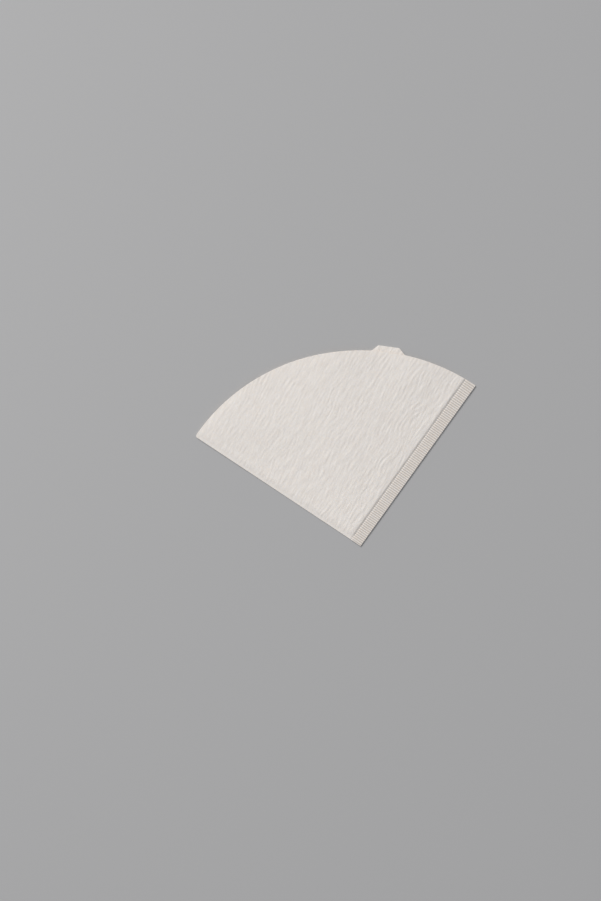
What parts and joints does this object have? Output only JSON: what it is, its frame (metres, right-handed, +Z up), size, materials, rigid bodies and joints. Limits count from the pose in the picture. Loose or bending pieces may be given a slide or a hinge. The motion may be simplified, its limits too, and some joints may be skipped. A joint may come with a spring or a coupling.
{
  "type": "paper coffee filter",
  "caption": "Cone coffee filter of crepe paper, folded flat: fold on one side, ribbed crimped seam on the other, round open mouth, finger tab on the back ply.",
  "frame": {"origin": "on the ground, under the middle of the flat filter's length and width", "axes": "+Z up out of the flat filter, +Y from the tip to the round mouth, fold on the -X side and crimped seam on the +X side"},
  "size_m": [0.1972, 0.14, 0.0035],
  "materials": {
    "crepe_paper": "matte"
  },
  "bodies": {
    "root": {"filter_paper": "crepe_paper"}
  },
  "joints": []
}
